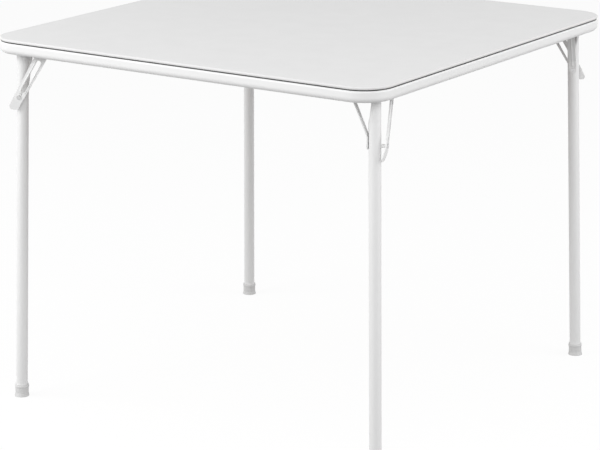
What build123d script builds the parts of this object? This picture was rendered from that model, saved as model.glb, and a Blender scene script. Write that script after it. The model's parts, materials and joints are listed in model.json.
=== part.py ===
from build123d import *
import os
from math import atan2, cos, degrees, hypot, radians, sin, tan

# Folding card table: a padded square top in a steel rail, on four folding tube legs.
# The origin is on the floor under the middle of the top, with +Z up.
# Lengths are in millimetres and angles in degrees.
# Everything at the corners is drawn once, at the -X -Y corner, and turned round +Z for the others.
# There the leg folds along the side that runs to +X, turned a little towards the middle.

# Whole table
side = 863.6
height = 711.2
corner_radius = 58.0
corner_names = ("a", "b", "c", "d")
corner_turn = 360 / len(corner_names)
overrun = 30.0

# Padded top
board_thickness = 3.0
board_edge_radius = 1.2
pad_thickness = 1.6
pad_edge_radius = 1.5
cover_skin = 0.7
cover_return = 25.0

# Staples that hold the cover's turned-in edge
staple_from_edge = 21.5
staple_crown = 10.0
staple_wire = 0.6
staple_grip = 2.9
staples_per_side = 7
staple_span_share = 0.82

# Frame rail, a rolled channel open to the inside
# Its ledge steps up to the seat, which leaves a shadow gap under the panel's edge
rail_width = 17.0
rail_height = 23.6
seat_from_edge = 6.4
seat_rise = 1.6
rail_sheet = 1.2
rail_top_radius = 3.5
rail_face_radius = 10.0
rail_foot_width = 13.5
rail_lip = 4.0

# Screws up through the rail's ledge into the board
screw_from_edge = 11.5
screw_radius = 1.7
screw_head_radius = 3.6
screw_head_height = 1.6
screw_bite = 2.2
screws_per_side = 3
screw_span_share = 0.62

# Legs
leg_radius = 11.1
leg_wall = 1.2
fold_turn = 20.0
splay_back = 1.85
splay_side = 0.85
hinge_from_end_edge = 58.0
hinge_from_side_edge = 36.0
hinge_above_rail = 7.0
blade_thickness = 3.0
blade_half_width = 12.4
blade_depth = 14.5
blade_length = 6.0
flare_length = 40.0
rim_start = 10.0
rim_end = 50.0

# Hinge rod
rod_radius = 2.5
rod_head_radius = 4.6
rod_head_height = 1.5
running_clearance = 0.05

# Leg rivet and its bush
rivet_below_hinge = 89.5
rivet_radius = 2.0
rivet_head_radius = 3.7
rivet_head_height = 1.2
bush_length = 9.0
bush_radius = 3.0

# Strut on the leg's inner side
strut_thickness = 2.0
strut_half_width = 7.2
strut_straight = 16.0
strut_top_straight = 12.0
strut_spread = 35.0

# Corner bracket
plate_thickness = 1.5
plate_from_edge = 8.0
plate_past_ear = 4.0
ear_thickness = 1.8
ear_lobe = 8.0
ear_gap = 0.4
inner_ear_flare = 10.0
strut_to_ear = 3.0

# Rivets from each bracket into the rail
bracket_rivet_radius = 2.0
bracket_rivet_head_radius = 3.8
bracket_rivet_head_height = 1.3
bracket_rivet_from_edge = 12.6
bracket_rivet_steps = (22.0, 54.0)
bracket_rivet_end_step = 28.0

# Slotted brace and its pin
brace_pin_reach = 49.5
brace_pin_radius = 3.0
brace_pin_head_radius = 5.6
brace_pin_head_height = 1.4
brace_thickness = 2.0
brace_half_width = 11.4
brace_tail = 29.0
tail_half_width = 9.2
tail_corner_radius = 5.5
tail_bend = 14.0
tail_bend_below_stud = 6.5
brace_gap = 0.3
slot_half_width = 4.2
slot_from_pin = 24.0
slot_above_rivet = 17.0
slot_offset = 1.2
washer_thickness = 0.8
washer_radius = 7.0
washer_gap = 0.1
head_gap = 0.15

# Stud in the brace's lock seat
stud_head_radius = 4.2
stud_head_height = 1.5

# Foot cap
foot_base = 4.0
foot_height = 24.0
foot_wall = 1.8
foot_bead = 0.8
foot_bead_height = 2.4
foot_bead_below_top = 2.6
foot_flare = 1.4
foot_flare_height = 7.0

# Levels, worked down from the top of the table
# The ledge's underside is the seat's, where the screws and brackets are
board_bottom = height - cover_skin - pad_thickness - board_thickness
pad_bottom = board_bottom + board_thickness
cover_bottom = board_bottom - cover_skin
ledge_bottom = cover_bottom - rail_sheet
rail_bottom = cover_bottom - rail_height
plate_bottom = ledge_bottom - plate_thickness
hinge_level = rail_bottom + hinge_above_rail

# Depths at a corner, from the hinge's middle plane, negative towards the near side of the rail
tube_face = -leg_radius
ear_inside = tube_face - ear_gap
ear_outside = ear_inside - ear_thickness
brace_inside = tube_face - bush_length - brace_gap
brace_outside = brace_inside - brace_thickness
strut_low_face = leg_radius
strut_high_face = strut_spread
inner_ear_face = strut_high_face + strut_thickness + strut_to_ear
inner_ear_back = inner_ear_face + ear_thickness

# Places at the -X -Y corner
hinge_x = -side / 2 + hinge_from_end_edge
hinge_y = -side / 2 + hinge_from_side_edge
leg_length = hinge_level / cos(radians(splay_back)) / cos(radians(splay_side))
tilted = Pos(hinge_x, hinge_y, hinge_level) * Rot(0, 0, fold_turn) * Rot(-splay_side, 0, 0)
leg_place = tilted * Rot(0, splay_back, 0)

# The brace runs from its pin to the leg's rivet
brace_run = brace_pin_reach + rivet_below_hinge * sin(radians(splay_back))
brace_drop = rivet_below_hinge * cos(radians(splay_back))
brace_reach = hypot(brace_run, brace_drop)
brace_angle = degrees(atan2(brace_run, brace_drop))
brace_place = tilted * Pos(brace_pin_reach, 0, 0) * Rot(0, brace_angle, 0)


def at_corner(shape, index):
    """The shape, drawn at the -X -Y corner, turned to the corner with this number."""
    return Rot(0, 0, corner_turn * index) * shape


def at_all_corners(shapes):
    """These shapes at all four corners, in one list."""
    return [at_corner(shape, index) for index in range(len(corner_names)) for shape in shapes]


def steps_along(count, span):
    """Places of count pieces spread evenly over a span about zero."""
    return [span * (step / (count - 1) - 1 / 2) for step in range(count)]


def slab(inset, bottom, thickness):
    """A flat plate with the table's outline, drawn in by an inset."""
    width = side - 2 * inset
    return Pos(0, 0, bottom) * extrude(RectangleRounded(width, width, corner_radius - inset), thickness)


def post(radius, rise):
    """A round post that stands on the origin."""
    return Cylinder(radius, rise, align=(Align.CENTER, Align.CENTER, Align.MIN))


def hanging(radius, drop):
    """A round post that hangs below the origin."""
    return Cylinder(radius, drop, align=(Align.CENTER, Align.CENTER, Align.MAX))


def half_space(upwards):
    """A block that covers everything above the origin's level, or everything below it."""
    level = Align.MIN if upwards else Align.MAX
    return Box(2 * side, 2 * side, 2 * overrun, align=(Align.CENTER, Align.CENTER, level))


def rod_along_y(radius, start, end):
    """A round rod along Y between two depths."""
    return Pos(0, (start + end) / 2, 0) * Rot(90, 0, 0) * Cylinder(radius, end - start)


def plate_along_y(outline, start, end):
    """An outline drawn in X and Z, made solid between two depths along Y."""
    return Pos(0, end, 0) * extrude(Plane.XZ * outline, end - start)


def save(shape, node):
    """Writes one node's solids to its own file."""
    shape.label = node
    export_step(shape, os.path.join("parts", node + ".step"))


# Padded top


def make_screws():
    """Pan-head screws up through the rail's ledge, the cover's return and into the board."""
    screws = []
    for along in steps_along(screws_per_side, side * screw_span_share):
        shank = post(screw_radius, board_bottom + screw_bite - ledge_bottom)
        head = hanging(screw_head_radius, screw_head_height)
        screws.append(Pos(along, -side / 2 + screw_from_edge, ledge_bottom) * (shank + head))
    return at_all_corners(screws)


def make_staples():
    """Wire staples across the cover's turned-in edge, driven up into the board."""
    staples = []
    for along in steps_along(staples_per_side, side * staple_span_share):
        crown = Box(staple_crown, staple_wire, staple_wire, align=(Align.CENTER, Align.CENTER, Align.MAX))
        staple = crown
        for end in (-1, 1):
            leg = Box(staple_wire, staple_wire, staple_grip, align=(Align.CENTER, Align.CENTER, Align.MIN))
            staple += Pos(end * (staple_crown - staple_wire) / 2, 0, 0) * leg
        staples.append(Pos(along, -side / 2 + staple_from_edge, cover_bottom) * staple)
    return at_all_corners(staples)


def make_board():
    """Hard board that stiffens the top."""
    board = slab(cover_skin, board_bottom, board_thickness)
    return fillet(board.faces().sort_by(Axis.Z)[0].edges(), board_edge_radius)


def make_pad():
    """Thin foam pad on the board, with a soft upper edge."""
    pad = slab(cover_skin, pad_bottom, pad_thickness)
    return fillet(pad.faces().sort_by(Axis.Z)[-1].edges(), pad_edge_radius)


def make_cover(board, pad):
    """Vinyl cover over pad and board, turned in under the board's edge."""
    cover = slab(0, cover_bottom, height - cover_bottom)
    cover = fillet(cover.faces().sort_by(Axis.Z)[-1].edges(), pad_edge_radius + cover_skin)
    cover = fillet(cover.faces().sort_by(Axis.Z)[0].edges(), board_edge_radius + cover_skin)
    window = slab(cover_return, cover_bottom - overrun, board_bottom - cover_bottom + overrun)
    return cover - board - pad - window


# Frame rail


def stepped_profile(width, rise, drop, step):
    """A rectangle from the origin, with its top lower by the drop as far as the step."""
    corner = (Align.MIN, Align.MIN)
    lower = Rectangle(width, rise - drop, align=corner)
    return lower + Pos(step, rise - drop) * Rectangle(width - step, drop, align=corner)


def make_rail_section():
    """Section of the rolled channel, with X inwards from the outer face and Y up."""
    corner = (Align.MIN, Align.MIN)
    outer = stepped_profile(rail_width, rail_height, seat_rise, seat_from_edge)
    outer_edge = outer.vertices().group_by(Axis.X)[0].sort_by(Axis.Y)
    outer = fillet(outer_edge[0], rail_face_radius)
    outer = fillet(outer.vertices().group_by(Axis.X)[0].sort_by(Axis.Y)[-1], rail_top_radius)
    inner = stepped_profile(rail_width, rail_height - 2 * rail_sheet, seat_rise, seat_from_edge)
    inner = fillet(inner.vertices().group_by(Axis.X)[0].sort_by(Axis.Y)[0], rail_face_radius - rail_sheet)
    inner = fillet(inner.vertices().group_by(Axis.X)[0].sort_by(Axis.Y)[-1], rail_top_radius - rail_sheet)
    opening = Pos(rail_foot_width, 0) * Rectangle(rail_width, rail_height - rail_sheet, align=corner)
    lip = Pos(rail_foot_width - rail_sheet, 0) * Rectangle(rail_sheet, rail_sheet + rail_lip, align=corner)
    return outer - Pos(rail_sheet, rail_sheet) * inner - opening + lip


def make_rail():
    """One closed ring: a straight run and a turned corner, four times."""
    section = Pos(0, -side / 2, rail_bottom) * (Plane.YZ * make_rail_section())
    straight_half = side / 2 - corner_radius
    run = extrude(section, straight_half, both=True)
    turn_axis = Axis((straight_half, -straight_half, 0), (0, 0, 1))
    bend = revolve(Pos(straight_half, 0, 0) * section, turn_axis, corner_turn)
    ring = at_all_corners([run, bend])
    return ring[0].fuse(*ring[1:]).clean()


# Corner bracket, hinge rod and brace pin


def make_bracket_rivets():
    """Rivets up through the bracket's plate and the rail's ledge, flush above it."""
    near_edge = -side / 2 + bracket_rivet_from_edge
    places = [(hinge_x + step, near_edge) for step in bracket_rivet_steps]
    places.append((near_edge, hinge_y + bracket_rivet_end_step))
    shank = post(bracket_rivet_radius, cover_bottom - plate_bottom)
    head = hanging(bracket_rivet_head_radius, bracket_rivet_head_height)
    return [Pos(x, y, plate_bottom) * (shank + head) for x, y in places]


def make_bracket(rivets):
    """Stamped bracket: a plate under both rails' ledges, with an outer and an inner ear."""
    turn = radians(fold_turn)
    pin_side = (brace_pin_reach + ear_lobe) * cos(turn) - ear_outside * sin(turn)
    inner_side = inner_ear_back * cos(turn) + (ear_lobe + inner_ear_flare) * sin(turn)
    plate_end_x = hinge_x + pin_side + plate_past_ear
    plate_end_y = hinge_y + inner_side + plate_past_ear
    corner_block = Box(side, side, side, align=(Align.MAX, Align.MAX, Align.CENTER))
    plate = slab(plate_from_edge, plate_bottom, plate_thickness)
    plate &= Pos(plate_end_x, plate_end_y, plate_bottom) * corner_block
    plate_top = plate_bottom + plate_thickness
    ear_top = plate_top + plate_thickness - hinge_level
    web_length = brace_pin_reach + 2 * ear_lobe
    outer_web = Pos(-ear_lobe, 0) * Rectangle(web_length, ear_top, align=(Align.MIN, Align.MIN))
    outer = Circle(ear_lobe) + outer_web + Pos(brace_pin_reach, 0) * Circle(ear_lobe)
    wide = ear_lobe + inner_ear_flare
    inner_web = Polyline((-ear_lobe, 0), (ear_lobe, 0), (wide, ear_top), (-wide, ear_top), close=True)
    inner = Circle(ear_lobe) + make_face(inner_web)
    ears = plate_along_y(outer, ear_outside, ear_inside)
    ears += plate_along_y(inner, inner_ear_face, inner_ear_back)
    ears -= rod_along_y(rod_radius, ear_outside - overrun, inner_ear_back + overrun)
    pin_hole = rod_along_y(brace_pin_radius, ear_outside - overrun, ear_inside + overrun)
    ears -= Pos(brace_pin_reach, 0, 0) * pin_hole
    bracket = plate + (tilted * ears - Pos(0, 0, plate_top) * half_space(upwards=True))
    for rivet in rivets:
        bracket -= rivet
    return bracket


def make_rod():
    """Hinge rod, headed outside both ears."""
    rod = rod_along_y(rod_radius, ear_outside, inner_ear_back)
    rod += rod_along_y(rod_head_radius, ear_outside - rod_head_height, ear_outside)
    rod += rod_along_y(rod_head_radius, inner_ear_back, inner_ear_back + rod_head_height)
    return tilted * rod


def make_brace_pin():
    """Pin swaged flush in the outer ear, with its head outside the brace."""
    head_start = brace_outside - head_gap
    pin = rod_along_y(brace_pin_radius, head_start, ear_inside)
    pin += rod_along_y(brace_pin_head_radius, head_start - brace_pin_head_height, head_start)
    return tilted * Pos(brace_pin_reach, 0, 0) * pin


def make_washer():
    """Washer on the brace pin, between the ear and the brace."""
    washer_end = brace_inside + washer_gap
    ring = rod_along_y(washer_radius, washer_end, ear_outside)
    ring -= rod_along_y(brace_pin_radius, washer_end - overrun, ear_outside + overrun)
    return tilted * Pos(brace_pin_reach, 0, 0) * ring


# Leg, drawn hanging down from the hinge


def round_section():
    """The tube's round section, in four arcs that meet the pressed section's four edges."""
    rim_span = rim_end - rim_start
    spans = (180 + 2 * rim_start, rim_span, 180 - 2 * rim_end, rim_span)
    start = 180 - rim_start
    arcs = []
    for span in spans:
        arcs.append(CenterArc((0, 0), leg_radius, start, span))
        start += span
    return make_face(arcs)


def pressed_section():
    """The pressed section: the inner wall pushed in against the outer one, as a round trough."""
    rim = tube_face + blade_depth
    inside = blade_half_width - blade_thickness
    left, right = (-blade_half_width, rim), (blade_half_width, rim)
    left_inside, right_inside = (-inside, rim), (inside, rim)
    outer = ThreePointArc(left, (0, tube_face), right)
    inner = ThreePointArc(right_inside, (0, tube_face + blade_thickness), left_inside)
    return make_face([outer, Line(right, right_inside), inner, Line(left_inside, left)])


def make_leg_tube():
    """Round tube whose top is pressed to a trough, open inwards, that hangs on the hinge rod."""
    tube_top = -blade_length - flare_length
    tube_end = foot_base - leg_length
    tube = Pos(0, 0, tube_end) * post(leg_radius, tube_top - tube_end)
    flare = loft([Pos(0, 0, tube_top) * round_section(), Pos(0, 0, -blade_length) * pressed_section()])
    outline = Circle(blade_half_width)
    outline += Pos(0, -blade_length / 2) * Rectangle(2 * blade_half_width, blade_length)
    blade = Pos(0, 0, -blade_length) * extrude(pressed_section(), blade_length + blade_half_width)
    blade &= plate_along_y(outline, tube_face - overrun, overrun)
    leg = tube + flare + blade
    bore_length = tube_top - leg_wall - tube_end + overrun
    leg -= Pos(0, 0, tube_end - overrun) * post(leg_radius - leg_wall, bore_length)
    leg -= rod_along_y(rod_radius + running_clearance, -overrun, overrun)
    leg -= Pos(0, 0, -rivet_below_hinge) * rod_along_y(rivet_radius, -overrun, overrun)
    return leg_place * leg


def make_strut():
    """Bent strap from the rivet up the leg's inner side, spreading inwards to the hinge rod."""
    low = strut_low_face
    high = strut_high_face
    knee = strut_straight - rivet_below_hinge
    neck = -strut_top_straight
    rise = strut_half_width + strut_thickness
    inner_line = [(low, -rivet_below_hinge - rise), (low, knee), (high, neck), (high, rise)]
    outer_line = [(depth + strut_thickness, level) for depth, level in reversed(inner_line)]
    bent = Plane.YZ * make_face(Polyline(*inner_line, *outer_line, close=True))
    bent = extrude(bent, strut_half_width, both=True)
    shadow = Rot(0, 0, 90) * SlotCenterToCenter(rivet_below_hinge, 2 * strut_half_width)
    shadow = Pos(0, -rivet_below_hinge / 2) * shadow
    strut = bent & plate_along_y(shadow, 0, high + strut_thickness + overrun)
    strut -= rod_along_y(rod_radius + running_clearance, -overrun, high + overrun)
    strut -= Pos(0, 0, -rivet_below_hinge) * rod_along_y(rivet_radius, -overrun, overrun)
    return leg_place * strut


def make_leg_rivet():
    """Rivet through the tube, the strut and the bush, headed inside the strut."""
    head_start = strut_low_face + strut_thickness
    rivet = rod_along_y(rivet_radius, tube_face - bush_length, head_start)
    rivet += rod_along_y(rivet_head_radius, head_start, head_start + rivet_head_height)
    return leg_place * Pos(0, 0, -rivet_below_hinge) * rivet


def make_bush():
    """Bush that holds the brace off the tube."""
    bush = rod_along_y(bush_radius, tube_face - bush_length, tube_face)
    bush -= rod_along_y(rivet_radius, tube_face - bush_length - overrun, tube_face + overrun)
    return leg_place * Pos(0, 0, -rivet_below_hinge) * bush


def make_foot():
    """Moulded cap on the tube's end, with a bead near its top and a flared sole cut level."""
    body = leg_radius + foot_wall
    bead_top = foot_height - foot_bead_below_top
    bead_bottom = bead_top - foot_bead_height
    profile = make_face(
        Polyline(
            (0, -foot_base),
            (body + foot_flare, -foot_base),
            (body + foot_flare, 0),
            (body, foot_flare_height),
            (body, bead_bottom - foot_bead),
            (body + foot_bead, bead_bottom),
            (body + foot_bead, bead_top),
            (body, bead_top + foot_bead),
            (body, foot_height),
            (leg_radius, foot_height),
            (leg_radius, foot_base),
            (0, foot_base),
            close=True,
        )
    )
    cap = leg_place * Pos(0, 0, -leg_length) * revolve(Plane.XZ * profile, Axis.Z)
    return cap - half_space(upwards=False)


# Brace, drawn hanging down from its pin


def make_brace():
    """Tapered strap with a slot down to a narrow lock seat, and a thumb tail bent inwards."""
    tail_level = -brace_reach - brace_tail
    tail_slant = tail_half_width * tan(radians(brace_angle))
    low_left = (-tail_half_width, tail_level - tail_slant)
    low_right = (tail_half_width, tail_level + tail_slant)
    top_left, top_right = (-brace_half_width, 0), (brace_half_width, 0)
    strap = make_face(Polyline(top_left, low_left, low_right, top_right, close=True))
    strap = fillet(strap.vertices().sort_by(Axis.Y)[0], tail_corner_radius)
    strap = fillet(strap.vertices().sort_by(Axis.X)[-2], tail_corner_radius)
    strap += Circle(brace_half_width)
    slot_top = -slot_from_pin
    slot_low = slot_above_rivet - brace_reach
    slot = Rot(0, 0, 90) * SlotCenterToCenter(slot_top - slot_low, 2 * slot_half_width)
    slot = Pos(slot_offset, (slot_top + slot_low) / 2) * slot
    seat_middle = (slot_offset / 2, (slot_low - brace_reach) / 2)
    seat = SlotCenterPoint(seat_middle, (0, -brace_reach), 2 * rivet_radius)
    outline = strap - slot - seat - Circle(brace_pin_radius + running_clearance)
    bend_level = -brace_reach - tail_bend_below_stud
    tail_end = tail_level - brace_half_width
    tail_depth = brace_outside + (bend_level - tail_end) * tan(radians(tail_bend))
    outer_line = [(brace_outside, brace_half_width), (brace_outside, bend_level), (tail_depth, tail_end)]
    inner_line = [(depth + brace_thickness, level) for depth, level in reversed(outer_line)]
    bent = Plane.YZ * make_face(Polyline(*outer_line, *inner_line, close=True))
    bent = extrude(bent, 2 * brace_half_width, both=True)
    brace = bent & plate_along_y(outline, brace_outside - overrun, brace_inside + overrun)
    return brace_place * brace


def make_stud():
    """Headed stud in the brace's lock seat, in line with the leg's rivet."""
    stud = rod_along_y(rivet_radius, brace_outside, brace_inside)
    stud += rod_along_y(stud_head_radius, brace_outside - stud_head_height, brace_outside)
    return brace_place * Pos(0, 0, -brace_reach) * stud


# Writing the nodes

os.makedirs("parts", exist_ok=True)

screws = make_screws()
staples = make_staples()
corner_rivets = make_bracket_rivets()
rivets = at_all_corners(corner_rivets)
board = make_board()
pad = make_pad()
cover = make_cover(board, pad)
rail = make_rail()
save((board - screws) - staples, "top_board")
save(pad, "top_pad")
save((cover - screws) - staples, "top_cover")
save((rail - screws) - rivets, "frame_rail")
save(Compound(children=screws), "panel_screws")
save(Compound(children=staples), "cover_staples")
save(Compound(children=rivets), "bracket_rivets")
save(Compound(children=at_all_corners([make_washer()])), "pin_washers")

corner_parts = {
    "corner_bracket": make_bracket(corner_rivets),
    "hinge_rod": make_rod(),
    "brace_pin": make_brace_pin(),
    "leg_tube": make_leg_tube(),
    "leg_strut": make_strut(),
    "leg_rivet": make_leg_rivet(),
    "rivet_bush": make_bush(),
    "foot_cap": make_foot(),
    "leg_brace": make_brace(),
    "brace_stud": make_stud(),
}
for index, name in enumerate(corner_names):
    for part, shape in corner_parts.items():
        save(at_corner(shape, index), part + "_" + name)

print("hinge of leg a", hinge_x, hinge_y, hinge_level)
print("brace swing", brace_angle, "reach", brace_reach, "leg length", leg_length)
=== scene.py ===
import json
from math import radians

import bpy
import numpy as np
from mathutils import Matrix, Vector


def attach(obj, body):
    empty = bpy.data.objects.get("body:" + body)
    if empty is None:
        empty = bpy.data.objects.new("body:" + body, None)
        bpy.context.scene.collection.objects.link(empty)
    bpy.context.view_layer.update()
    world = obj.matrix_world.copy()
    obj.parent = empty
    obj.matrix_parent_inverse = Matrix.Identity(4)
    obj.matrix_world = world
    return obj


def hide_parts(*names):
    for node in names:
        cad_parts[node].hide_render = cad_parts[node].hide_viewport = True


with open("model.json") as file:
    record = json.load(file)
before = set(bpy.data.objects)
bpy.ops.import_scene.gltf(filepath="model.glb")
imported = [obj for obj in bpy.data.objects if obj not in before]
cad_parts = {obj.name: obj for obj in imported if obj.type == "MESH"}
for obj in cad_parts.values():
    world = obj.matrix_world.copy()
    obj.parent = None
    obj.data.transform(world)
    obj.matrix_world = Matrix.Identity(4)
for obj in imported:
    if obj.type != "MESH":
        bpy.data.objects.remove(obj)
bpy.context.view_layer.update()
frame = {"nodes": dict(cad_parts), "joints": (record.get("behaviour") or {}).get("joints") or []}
nodes = frame["nodes"]

# Hard board
# A 3 mm sheet of raw hardboard: wood fibre pressed wet against a wire screen, which leaves its
# mesh on the underside. The cover wraps its edges, and the screws bite into it from below.


def shade(code):
    """Turns an sRGB hex colour into the linear colour that a shader takes."""
    srgb = np.array([int(code[at:at + 2], 16) for at in (1, 3, 5)]) / 255
    linear = np.where(srgb <= 0.04045, srgb / 12.92, ((srgb + 0.055) / 1.055) ** 2.4)
    return (*linear.tolist(), 1.0)


def add(tree, kind, inputs, **settings):
    """Adds one node. Settings are its own choices, and inputs give a socket a value or a link."""
    made = tree.nodes.new(kind)
    for name, value in settings.items():
        setattr(made, name, value)
    for name, value in inputs.items():
        if isinstance(value, bpy.types.NodeSocket):
            tree.links.new(value, made.inputs[name])
        else:
            made.inputs[name].default_value = value
    return made


def start_finish(name):
    """A new material with an empty tree, and its place in object coordinates, in metres."""
    finish = bpy.data.materials.new(name)
    finish.use_nodes = True
    finish.node_tree.nodes.clear()
    place = add(finish.node_tree, "ShaderNodeTexCoord", {}).outputs["Object"]
    return finish, finish.node_tree, place


def coat(finish, *names):
    """Gives this finish to each of these objects, in place of what it had."""
    for name in names:
        mesh = nodes[name].data
        mesh.materials.clear()
        mesh.materials.append(finish)


# Raw hardboard: pressed brown fibre, dull, with darker flecks and the screen's print 1.6 mm apart.
# The wave node runs through one band in 2 pi / 20 of its own unit.
fleck_size = 0.0022
cloud_size = 0.09
screen_pitch = 0.0016
screen_depth = 0.0002
screen_scale = 2 * np.pi / 20 / screen_pitch
hardboard, tree, place = start_finish("raw_hardboard")
flecks = add(tree, "ShaderNodeTexNoise", {"Vector": place, "Scale": 1 / fleck_size, "Detail": 6.0})
cloud = add(tree, "ShaderNodeTexNoise", {"Vector": place, "Scale": 1 / cloud_size, "Detail": 2.0})
mixed = add(tree, "ShaderNodeMath", {0: flecks.outputs["Fac"], 1: cloud.outputs["Fac"]}, operation="ADD")
tone = add(tree, "ShaderNodeMapRange", {
    "Value": mixed.outputs[0], "From Min": 0.72, "From Max": 1.28})
brown = add(tree, "ShaderNodeMix", {
    "Factor": tone.outputs["Result"], "A": shade("#6B4A30"), "B": shade("#8F6A48")}, data_type="RGBA")
weft, warp = (add(tree, "ShaderNodeTexWave", {
    "Vector": place, "Scale": screen_scale, "Distortion": 0.6, "Detail Scale": 2.0},
    bands_direction=direction) for direction in "XY")
screen = add(tree, "ShaderNodeMath", {0: weft.outputs["Fac"], 1: warp.outputs["Fac"]}, operation="MULTIPLY")
print_dents = add(tree, "ShaderNodeBump", {
    "Strength": 0.5, "Distance": screen_depth, "Height": screen.outputs[0]})
shader = add(tree, "ShaderNodeBsdfPrincipled", {
    "Base Color": brown.outputs["Result"], "Roughness": 0.82, "IOR": 1.5,
    "Normal": print_dents.outputs["Normal"]})
add(tree, "ShaderNodeOutputMaterial", {"Surface": shader.outputs["BSDF"]})
coat(hardboard, "top_board")

# Padded top: foam and vinyl cover
# A thin sheet of polyurethane foam lies on the board, and a white vinyl sheet is stretched over it
# and round the board's edge. Its turned-in edge is gathered at the corners and stapled below.
# An inset is how far a point lies in from the top's outline, seen from above.

top_half = 0.4318
top_corner = 0.058
top_level = 0.7112
skin = 0.0007
edge_low = 0.7052
edge_upper_round = 0.0022
edge_lower_round = 0.0029
board_thickness = 0.003
return_width = 0.025
offset_as_far = 0.03
foam_clear = 0.00002
foam_middle = 0.02
side_steps = 36
corner_steps = 24
sag_depth = 0.0005
sag_reach = 0.010
pleat_start = 0.017
pleat_depth = 0.0005
pleats_per_corner = 5


def outline_grid(inset, level, gather=None):
    """Rings of a rounded square, one for each inset and level, raised by what gather returns.

    With H half the side, R the corner radius and m offset_as_far: down to the inset m, the ring at
    inset s has corner arcs of radius R - s about centres H - R out from the middle on each axis.
    Further in, it is the ring at m shrunk by (H - s) / (H - m). The straight between two arcs is
    cut evenly.
    """
    inset, level = np.asarray(inset, float), np.asarray(level, float)
    shrink = np.minimum((top_half - inset) / (top_half - offset_as_far), 1)[:, None]
    round_left = shrink * (top_corner - np.minimum(inset, offset_as_far))[:, None]
    reach = shrink * (top_half - top_corner)
    turn = np.linspace(0, np.pi / 2, corner_steps + 1)[None, :]
    arc_x, arc_y = reach + round_left * np.cos(turn), reach + round_left * np.sin(turn)
    share = np.linspace(0, 1, side_steps + 1)[None, 1:-1]
    run_x, run_y = reach * (1 - 2 * share), np.repeat(reach + round_left, share.size, axis=1)
    quarter_x = np.hstack([arc_x, run_x])
    quarter_y = np.hstack([arc_y, run_y])
    lift = np.zeros_like(quarter_x) if gather is None else gather(inset, level, quarter_x.shape, turn)
    rings = []
    for cos_q, sin_q in ((1, 0), (0, 1), (-1, 0), (0, -1)):
        rings.append(np.stack([
            quarter_x * cos_q - quarter_y * sin_q,
            quarter_x * sin_q + quarter_y * cos_q,
            level[:, None] + lift], axis=-1))
    return np.concatenate(rings, axis=1)


def closed_piece(name, grid, finish):
    """A mesh from rings that start and end in a pole, with quads between the rings.

    Ring i's point j joins ring i + 1's points j and j + 1, and the first and last ring shrink to
    one point each, closed by fans of triangles. Rings that turn anticlockwise, seen against the
    way from the first to the last, give faces that point outwards.
    """
    count, around = grid.shape[:2]
    inner = grid[1:-1].reshape(-1, 3)
    points = np.vstack([inner, grid[0].mean(axis=0), grid[-1].mean(axis=0)])
    at = np.arange((count - 2) * around).reshape(count - 2, around)
    after = np.roll(at, -1, axis=1)
    quads = np.stack([at[:-1], at[1:], after[1:], after[:-1]], axis=-1).reshape(-1, 4)
    first = np.full(around, len(inner))
    fan_in = np.stack([first, at[0], after[0]], axis=-1)
    fan_out = np.stack([first + 1, after[-1], at[-1]], axis=-1)
    mesh = bpy.data.meshes.new(name)
    mesh.from_pydata(points.tolist(), [], quads.tolist() + fan_in.tolist() + fan_out.tolist())
    mesh.polygons.foreach_set("use_smooth", np.ones(len(mesh.polygons), bool))
    mesh.materials.append(finish)
    mesh.update()
    piece = bpy.data.objects.new(name, mesh)
    bpy.context.scene.collection.objects.link(piece)
    return piece


def sag(inset):
    """How far the vinyl presses the foam down near the edge: sag_depth x e^(-inset / sag_reach)."""
    return sag_depth * np.exp(-np.asarray(inset) / sag_reach)


def arc(centre_inset, centre_level, radius, start, end, steps=7):
    """Inset and level along an arc about a centre, from one angle to another, in degrees."""
    angle = np.radians(np.linspace(start, end, steps))
    return centre_inset - radius * np.cos(angle), centre_level + radius * np.sin(angle)


def pleats(inset, level, shape, turn):
    """Gathers in the turned-in edge, under each corner's arc.

    At the arc's angle t they hang down by d g sin(2 n t)^2 sin(2 t), where d is pleat_depth, n
    pleats_per_corner, and g grows from 0 at pleat_start to 1 at the cut edge.
    """
    lift = np.zeros(shape)
    below = level < edge_low + 2 * skin
    grown = (below * np.clip((inset - pleat_start) / (return_width - pleat_start), 0, 1))[:, None]
    wave = np.sin(2 * pleats_per_corner * turn) ** 2 * np.sin(2 * turn)
    lift[:, :turn.size] = -pleat_depth * grown * wave
    return lift


flat_insets = np.array([0.4318, 0.36, 0.28, 0.20, 0.14, 0.10, 0.075, 0.0575, 0.045, 0.035, 0.027,
                        0.021, 0.016, 0.012, 0.009, 0.0065, 0.0045])
brim = sag(edge_upper_round)
upper = arc(edge_upper_round, top_level - brim - edge_upper_round, edge_upper_round, 90, 0)
lower = arc(edge_lower_round, edge_low + edge_lower_round, edge_lower_round, 0, -90)
under_insets = np.array([0.004, 0.008, 0.012, 0.0165, 0.019, 0.022, return_width])
outer_inset = np.concatenate([flat_insets, upper[0], lower[0], under_insets])
outer_level = np.concatenate([top_level - sag(flat_insets), upper[1], lower[1],
                              np.full(under_insets.size, edge_low)])
inner_under = under_insets[::-1]
lower_in = arc(edge_lower_round, edge_low + edge_lower_round, edge_lower_round - skin, -90, 0)
upper_in = arc(edge_upper_round, top_level - brim - edge_upper_round, edge_upper_round - skin, 0, 90)
inner_inset = np.concatenate([inner_under, lower_in[0], upper_in[0], flat_insets[::-1]])
inner_level = np.concatenate([np.full(inner_under.size, edge_low + skin), lower_in[1], upper_in[1],
                              top_level - skin - sag(flat_insets[::-1])])

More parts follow.
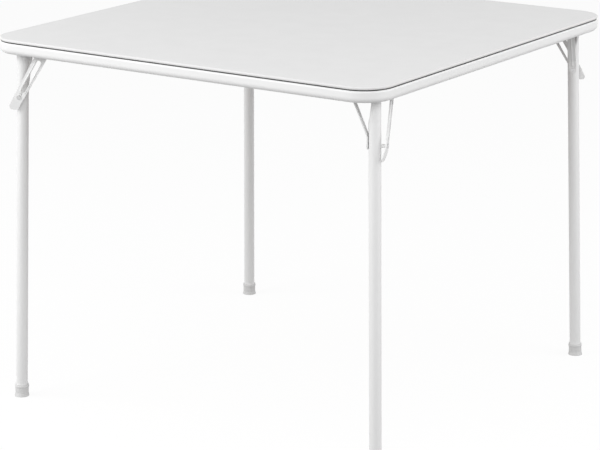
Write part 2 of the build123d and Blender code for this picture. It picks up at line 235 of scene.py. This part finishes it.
# Plasticised PVC sheet: calendered with a fine pebble grain, soft sheen, clean white with a faint
# unevenness where the foam shows through. The real grain is 0.6 mm, drawn at 0.9 mm to show.
pebble = 0.0009
pebble_depth = 0.00008
swell_size = 0.045
swell_depth = 0.0006
vinyl, tree, place = start_finish("white_vinyl_sheet")
grain = add(tree, "ShaderNodeTexVoronoi", {
    "Vector": place, "Scale": 1 / pebble, "Randomness": 0.9}, feature="SMOOTH_F1")
foam_show = add(tree, "ShaderNodeTexNoise", {"Vector": place, "Scale": 1 / swell_size, "Detail": 3.0})
dents = add(tree, "ShaderNodeBump", {
    "Strength": 0.25, "Distance": pebble_depth, "Height": grain.outputs["Distance"]}, invert=True)
swell = add(tree, "ShaderNodeBump", {
    "Strength": 0.12, "Distance": swell_depth, "Height": foam_show.outputs["Fac"],
    "Normal": dents.outputs["Normal"]})
white = add(tree, "ShaderNodeMix", {
    "Factor": foam_show.outputs["Fac"], "A": shade("#DFDFDF"), "B": shade("#E4E4E4")}, data_type="RGBA")
gloss = add(tree, "ShaderNodeMapRange", {
    "Value": grain.outputs["Distance"], "To Min": 0.52, "To Max": 0.62})
shader = add(tree, "ShaderNodeBsdfPrincipled", {
    "Base Color": white.outputs["Result"], "Roughness": gloss.outputs["Result"], "IOR": 1.52,
    "Specular IOR Level": 0.25, "Normal": swell.outputs["Normal"]})
add(tree, "ShaderNodeOutputMaterial", {"Surface": shader.outputs["BSDF"]})

cover_grid = outline_grid(np.concatenate([outer_inset, inner_inset]),
                          np.concatenate([outer_level, inner_level]), pleats)
cover = closed_piece("vinyl_cover", cover_grid, vinyl)
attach(cover, "table_top")
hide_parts("top_cover")

# Open-cell polyurethane foam: cream, dull, with cells about 0.5 mm across, drawn at 0.8 mm
cell = 0.0008
cell_depth = 0.0003
foam, tree, place = start_finish("polyurethane_foam")
cells = add(tree, "ShaderNodeTexVoronoi", {"Vector": place, "Scale": 1 / cell})
# The cream is darker in each cell's pit than on its rim: painted shade in the pits.
cream_and_pit_shade = add(tree, "ShaderNodeMix", {
    "Factor": cells.outputs["Distance"], "A": shade("#D9CFB4"), "B": shade("#F1EAD2")}, data_type="RGBA")
pits = add(tree, "ShaderNodeBump", {
    "Strength": 0.8, "Distance": cell_depth, "Height": cells.outputs["Distance"]})
shader = add(tree, "ShaderNodeBsdfPrincipled", {
    "Base Color": cream_and_pit_shade.outputs["Result"], "Roughness": 0.95, "IOR": 1.45,
    "Normal": pits.outputs["Normal"]})
add(tree, "ShaderNodeOutputMaterial", {"Surface": shader.outputs["BSDF"]})

foam_low = edge_low + skin + board_thickness
foam_round = edge_upper_round - skin
foam_edge = arc(edge_upper_round, top_level - brim - edge_upper_round, foam_round, 90, 0)
foam_inset = np.concatenate([flat_insets, foam_edge[0], [skin, foam_middle, top_half]])
foam_level = np.concatenate([top_level - skin - sag(flat_insets) - foam_clear, foam_edge[1],
                             [foam_low, foam_low, foam_low]])
pad = closed_piece("foam_pad", outline_grid(foam_inset, foam_level), foam)
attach(pad, "table_top")
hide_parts("top_pad")

# Staples, screws and the small fasteners
# Wire staples through the cover's edge, pan-head screws up through the rail, rivets through each
# bracket and the washers on the brace pins. All are zinc plated, and so are the joints' pins.

# Bright zinc plate: thin clear-passivated metal over drawn steel, with faint cloudy patches
patch_size = 0.004
patch_depth = 0.00004
zinc, tree, place = start_finish("bright_zinc_plate")
patches = add(tree, "ShaderNodeTexNoise", {"Vector": place, "Scale": 1 / patch_size, "Detail": 4.0})
plated = add(tree, "ShaderNodeMix", {
    "Factor": patches.outputs["Fac"], "A": shade("#BEBEBE"), "B": shade("#D6D6D6")}, data_type="RGBA")
dull = add(tree, "ShaderNodeMapRange", {
    "Value": patches.outputs["Fac"], "To Min": 0.26, "To Max": 0.42})
drawn = add(tree, "ShaderNodeBump", {
    "Strength": 0.15, "Distance": patch_depth, "Height": patches.outputs["Fac"]})
shader = add(tree, "ShaderNodeBsdfPrincipled", {
    "Base Color": plated.outputs["Result"], "Metallic": 1.0, "Roughness": dull.outputs["Result"],
    "Normal": drawn.outputs["Normal"]})
add(tree, "ShaderNodeOutputMaterial", {"Surface": shader.outputs["BSDF"]})
coat(zinc, "cover_staples", "panel_screws", "bracket_rivets", "pin_washers")

# Frame rail and corner brackets
# The rail is 1.2 mm steel strip rolled to an open channel, bent to one ring and welded, and the
# brackets are stamped from 1.5 mm sheet and riveted under it. Both are powder coated white.

# Powder coat on steel: baked polyester, satin, with a faint orange peel about 1.8 mm across. In the
# seam under the panel, above the rail's shoulder, the colour turns near black: a painted shade that
# stands for the shadow in the gap between panel and rail. The seam is the strip that lies further
# than 51.2 mm from the corner arcs' centres, 373.8 mm out. The offset from them takes 2 x 711.2 mm
# off the height, so that only the two level ones count.
peel = 0.0018
peel_depth = 0.00006
drift_size = 0.12
shoulder_level = 0.7035
shoulder_blend = 0.0001
seam_centre = top_half - top_corner
seam_start = 0.0512
powder, tree, place = start_finish("white_powder_coat")
ripple = add(tree, "ShaderNodeTexNoise", {"Vector": place, "Scale": 1 / peel, "Detail": 2.0})
drift = add(tree, "ShaderNodeTexNoise", {"Vector": place, "Scale": 1 / drift_size, "Detail": 2.0})
skin_bump = add(tree, "ShaderNodeBump", {
    "Strength": 0.18, "Distance": peel_depth, "Height": ripple.outputs["Fac"]})
paint = add(tree, "ShaderNodeMix", {
    "Factor": drift.outputs["Fac"], "A": shade("#E8E8E8"), "B": shade("#ECECEC")}, data_type="RGBA")
height = add(tree, "ShaderNodeSeparateXYZ", {"Vector": place}).outputs["Z"]
# These masks pick the seam, where a near-black painted shade stands for the gap's shadow.
high_up = add(tree, "ShaderNodeMapRange", {
    "Value": height, "From Min": shoulder_level - shoulder_blend, "From Max": shoulder_level})
offset = add(tree, "ShaderNodeVectorMath", {0: place}, operation="ABSOLUTE")
offset = add(tree, "ShaderNodeVectorMath", {
    0: offset.outputs["Vector"], 1: (seam_centre, seam_centre, 2 * top_level)}, operation="SUBTRACT")
offset = add(tree, "ShaderNodeVectorMath", {
    0: offset.outputs["Vector"], 1: (0, 0, 0)}, operation="MAXIMUM")
distance = add(tree, "ShaderNodeVectorMath", {0: offset.outputs["Vector"]}, operation="LENGTH")
far_out = add(tree, "ShaderNodeMath", {
    0: distance.outputs["Value"], 1: seam_start}, operation="GREATER_THAN")
seam_shade = add(tree, "ShaderNodeMath", {
    0: high_up.outputs["Result"], 1: far_out.outputs[0]}, operation="MULTIPLY")
# Painted shade: near black in the seam, for the shadow in the gap under the panel.
paint = add(tree, "ShaderNodeMix", {
    "Factor": seam_shade.outputs[0], "A": paint.outputs["Result"], "B": shade("#262626")}, data_type="RGBA")
sheen = add(tree, "ShaderNodeMapRange", {
    "Value": ripple.outputs["Fac"], "To Min": 0.30, "To Max": 0.38})
shader = add(tree, "ShaderNodeBsdfPrincipled", {
    "Base Color": paint.outputs["Result"], "Roughness": sheen.outputs["Result"], "IOR": 1.5,
    "Normal": skin_bump.outputs["Normal"]})
add(tree, "ShaderNodeOutputMaterial", {"Surface": shader.outputs["BSDF"]})
coat(powder, "frame_rail")

# Legs, struts, braces and their joints, one set at each corner
# A 7/8 inch steel tube whose top is pressed to a trough on the hinge rod, with a bent strap riveted
# to its inner side and a slotted strap that locks on the same rivet when the leg is open. The bush
# between leg and strap is painted over with them.

for corner in "abcd":
    coat(powder, "corner_bracket_" + corner, "leg_tube_" + corner, "leg_strut_" + corner,
         "leg_brace_" + corner, "rivet_bush_" + corner)
    coat(zinc, "hinge_rod_" + corner, "brace_pin_" + corner, "leg_rivet_" + corner,
         "brace_stud_" + corner)

# Pressed ribs
# The presses raise a small rib round each brace's slot, open at the lock seat, and one along the
# middle of each strut, over its bend. They are part of those straps, and carry the same paint.
# Faces, slot and knees are given from the strap's joint: X level, Y inwards, and Z up the strap.

joints = {joint["name"]: joint for joint in frame["joints"]}
brace_lean = 30.36
leg_lean = 1.85
rim_half_width = 0.0011
rim_height = 0.0009
rib_half_width = 0.0016
rib_height = 0.0010
brace_face = -0.0224
slot_middle = 0.0012
slot_top = -0.0240
slot_low = -0.0867
rim_radius = 0.0055
rim_side_steps = 12
rim_top_steps = 25
seat_clear = 35.0
strut_low_face = 0.0131
strut_high_face = 0.0370
strut_knee = -0.0735
strut_neck = -0.0120
rib_start = -0.0830
rib_end = -0.0200
rib_steps = 40
rib_points_around = 16
rib_sunk = 0.2


def joint_axes(name, lean):
    """A joint's place, and the X, Y and Z directions of the part that hangs from it.

    Y runs inwards along the pin, X is level and square to it, and Z = X x Y. The lean b then turns
    them about Y: X cos b - Z sin b, and X sin b + Z cos b.
    """
    joint = joints[name]
    inwards = -np.array(joint["axis"])
    level = np.cross(inwards, (0, 0, 1))
    level /= np.linalg.norm(level)
    upwards = np.cross(level, inwards)
    turn = radians(lean)
    axes = np.array([level * np.cos(turn) - upwards * np.sin(turn), inwards,
                     level * np.sin(turn) + upwards * np.cos(turn)])
    return np.array(joint["pos_m"]), axes


def pressed_rib(path, outwards, half_width, height):
    """Rings round a half-round rib on a face, from one end of its path to the other.

    Ring point t lies at path + g (w cos t side + h max(sin t, -k) out), with the side square to
    path and out, k the share sunk into the face, and g = (1 - (1 - s / w)^2)^0.5 within the
    distance s = w of either end.
    """
    along = np.gradient(path, axis=0)
    side = np.cross(along, outwards)
    side /= np.linalg.norm(side, axis=1)[:, None]
    steps = np.linalg.norm(np.diff(path, axis=0), axis=1)
    length = np.concatenate([[0], np.cumsum(steps)])
    from_end = np.minimum(length, length[-1] - length)
    grown = np.sqrt(1 - (1 - np.clip(from_end / half_width, 0, 1)) ** 2)[:, None, None]
    turn = np.linspace(0, 2 * np.pi, rib_points_around, endpoint=False)[None, :, None]
    across = half_width * np.cos(turn) * side[:, None]
    lift = height * np.maximum(np.sin(turn), -rib_sunk) * outwards[:, None]
    return path[:, None] + grown * (across + lift)


rim_turn = np.radians(np.concatenate([
    np.linspace(270 - seat_clear, 180, rim_side_steps), np.linspace(180, 0, rim_top_steps),
    np.linspace(0, seat_clear - 90, rim_side_steps)]))
rim_centre = np.repeat([slot_low, slot_top, slot_low], [rim_side_steps, rim_top_steps, rim_side_steps])
rim_path = np.stack([slot_middle + rim_radius * np.cos(rim_turn), np.full(rim_turn.size, brace_face),
                     rim_centre + rim_radius * np.sin(rim_turn)], axis=-1)
rim_out = np.tile((0.0, -1.0, 0.0), (rim_turn.size, 1))
rib_level = np.linspace(rib_start, rib_end, rib_steps)
rib_rise = (strut_high_face - strut_low_face) / (strut_neck - strut_knee)
past_knee = np.maximum(rib_level - strut_knee, 0)
rib_path = np.stack([0 * rib_level, strut_low_face + rib_rise * past_knee, rib_level], axis=-1)
rib_lean = -rib_rise * np.minimum(past_knee / rib_half_width, 1)
rib_out = np.stack([0 * rib_level, np.ones(rib_level.size), rib_lean], axis=-1)
rib_out /= np.linalg.norm(rib_out, axis=1)[:, None]

rim_rings = pressed_rib(rim_path, rim_out, rim_half_width, rim_height)
rib_rings = pressed_rib(rib_path, rib_out, rib_half_width, rib_height)

for corner in "abcd":
    place, axes = joint_axes("brace_" + corner + "_swing", brace_lean)
    rim = closed_piece("slot_rim_" + corner, rim_rings @ axes + place, powder)
    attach(rim, "brace_" + corner)
    place, axes = joint_axes("leg_" + corner + "_fold", leg_lean)
    rib = closed_piece("strut_rib_" + corner, rib_rings @ axes + place, powder)
    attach(rib, "leg_" + corner)

# Foot caps
# Soft moulded PVC caps pushed over the tube ends, with a bead near the top and a flared sole.
# The moulded skin is matt and slightly greyer than the paint.

stipple = 0.0012
stipple_depth = 0.0001
scuff_size = 0.012
foot_vinyl, tree, place = start_finish("moulded_pvc")
spots = add(tree, "ShaderNodeTexNoise", {"Vector": place, "Scale": 1 / stipple, "Detail": 3.0})
scuffs = add(tree, "ShaderNodeTexNoise", {"Vector": place, "Scale": 1 / scuff_size, "Detail": 5.0})
rough_skin = add(tree, "ShaderNodeBump", {
    "Strength": 0.25, "Distance": stipple_depth, "Height": spots.outputs["Fac"]})
grey = add(tree, "ShaderNodeMix", {
    "Factor": scuffs.outputs["Fac"], "A": shade("#D3D3D3"), "B": shade("#DEDEDE")}, data_type="RGBA")
shader = add(tree, "ShaderNodeBsdfPrincipled", {
    "Base Color": grey.outputs["Result"], "Roughness": 0.62, "IOR": 1.5,
    "Normal": rough_skin.outputs["Normal"]})
add(tree, "ShaderNodeOutputMaterial", {"Surface": shader.outputs["BSDF"]})
for corner in "abcd":
    coat(foot_vinyl, "foot_cap_" + corner)

# Room: floor, light and camera
# A white studio: a pale floor that keeps a soft shadow, a large lamp at each side and one above
# the camera, light from the white room all round, and a long lens on the near corner. The floor
# is clear from below, where it would hide the underside.

floor_size = 12.0
floor_glow = 0.9
lamp_target = np.array([0.0, 0.0, 0.5])
camera_place = (2.5471, -3.7916, 1.5662)
camera_turn = radians(34.02)
camera_tilt = radians(90 - 15.375)
camera_roll = radians(-0.135)


def seen_directly(tree):
    """1 for camera, glossy and transmission rays, which see the white room, and else 0."""
    ray = add(tree, "ShaderNodeLightPath", {})
    seen = add(tree, "ShaderNodeMath", {
        0: ray.outputs["Is Camera Ray"], 1: ray.outputs["Is Glossy Ray"]}, operation="MAXIMUM")
    return add(tree, "ShaderNodeMath", {
        0: seen.outputs[0], 1: ray.outputs["Is Transmission Ray"]}, operation="MAXIMUM").outputs[0]


floor_mesh = bpy.data.meshes.new("studio_floor")
edge = floor_size / 2
floor_mesh.from_pydata([(-edge, -edge, 0), (edge, -edge, 0), (edge, edge, 0), (-edge, edge, 0)], [],
                       [(0, 1, 2, 3)])
floor = bpy.data.objects.new("studio_floor", floor_mesh)
bpy.context.scene.collection.objects.link(floor)
floor_finish, tree, place = start_finish("studio_floor")
matt = add(tree, "ShaderNodeBsdfDiffuse", {"Color": shade("#9A9A9A")})
chalk = add(tree, "ShaderNodeBsdfDiffuse", {"Color": shade("#FFFFFF")})
glow = add(tree, "ShaderNodeEmission", {"Color": shade("#FFFFFF"), "Strength": 1.0})
white_floor = add(tree, "ShaderNodeMixShader", {
    "Fac": floor_glow, 1: chalk.outputs["BSDF"], 2: glow.outputs["Emission"]})
surface = add(tree, "ShaderNodeMixShader", {
    "Fac": seen_directly(tree), 1: matt.outputs["BSDF"], 2: white_floor.outputs["Shader"]})
under = add(tree, "ShaderNodeNewGeometry", {}).outputs["Backfacing"]
clear = add(tree, "ShaderNodeBsdfTransparent", {"Color": shade("#FFFFFF")})
surface = add(tree, "ShaderNodeMixShader", {
    "Fac": under, 1: surface.outputs["Shader"], 2: clear.outputs["BSDF"]})
add(tree, "ShaderNodeOutputMaterial", {"Surface": surface.outputs["Shader"]})
floor_mesh.materials.append(floor_finish)

world = bpy.data.worlds.new("studio_air")
bpy.context.scene.world = world
world.use_nodes = True
tree = world.node_tree
tree.nodes.clear()
fill = add(tree, "ShaderNodeBackground", {"Color": shade("#FFFFFF"), "Strength": 0.6})
backdrop = add(tree, "ShaderNodeBackground", {"Color": shade("#FFFFFF"), "Strength": 1.0})
air = add(tree, "ShaderNodeMixShader", {
    "Fac": seen_directly(tree), 1: fill.outputs["Background"], 2: backdrop.outputs["Background"]})
add(tree, "ShaderNodeOutputWorld", {"Surface": air.outputs["Shader"]})

view_right = np.array([np.cos(camera_turn), np.sin(camera_turn), 0.0])
view_ahead = np.array([-np.sin(camera_turn), np.cos(camera_turn), 0.0])


def lamp(name, right, ahead, above, width, tall, watts):
    """A soft rectangular lamp, turned to its target.

    It stands to the right of the target, ahead of it and above it by so many metres, as the camera
    looks. A negative figure is to the left, or towards the camera.
    """
    data = bpy.data.lights.new(name, "AREA")
    data.shape, data.size, data.size_y, data.energy = "RECTANGLE", width, tall, watts
    light = bpy.data.objects.new(name, data)
    away = Vector(right * view_right + ahead * view_ahead + [0, 0, above])
    place = Matrix.Translation(Vector(lamp_target) + away)
    light.matrix_world = place @ away.to_track_quat("Z", "Y").to_matrix().to_4x4()
    bpy.context.scene.collection.objects.link(light)


lamp("left_lamp", -2.6, -0.6, 1.1, width=2.2, tall=2.0, watts=45.0)
lamp("right_lamp", 2.6, -0.6, 1.1, width=2.2, tall=2.0, watts=30.0)
lamp("front_lamp", 0.0, -3.0, 1.4, width=2.4, tall=1.6, watts=30.0)

camera_data = bpy.data.cameras.new("camera")
camera_data.lens = 144.0
camera_data.sensor_width = 36.0
camera_data.clip_end = 50.0
camera = bpy.data.objects.new("camera", camera_data)
camera.matrix_world = (
    Matrix.Translation(camera_place) @ Matrix.Rotation(camera_turn, 4, "Z")
    @ Matrix.Rotation(camera_tilt, 4, "X") @ Matrix.Rotation(camera_roll, 4, "Z"))
bpy.context.scene.collection.objects.link(camera)
bpy.context.scene.camera = camera
bpy.context.scene.view_settings.view_transform = "Standard"
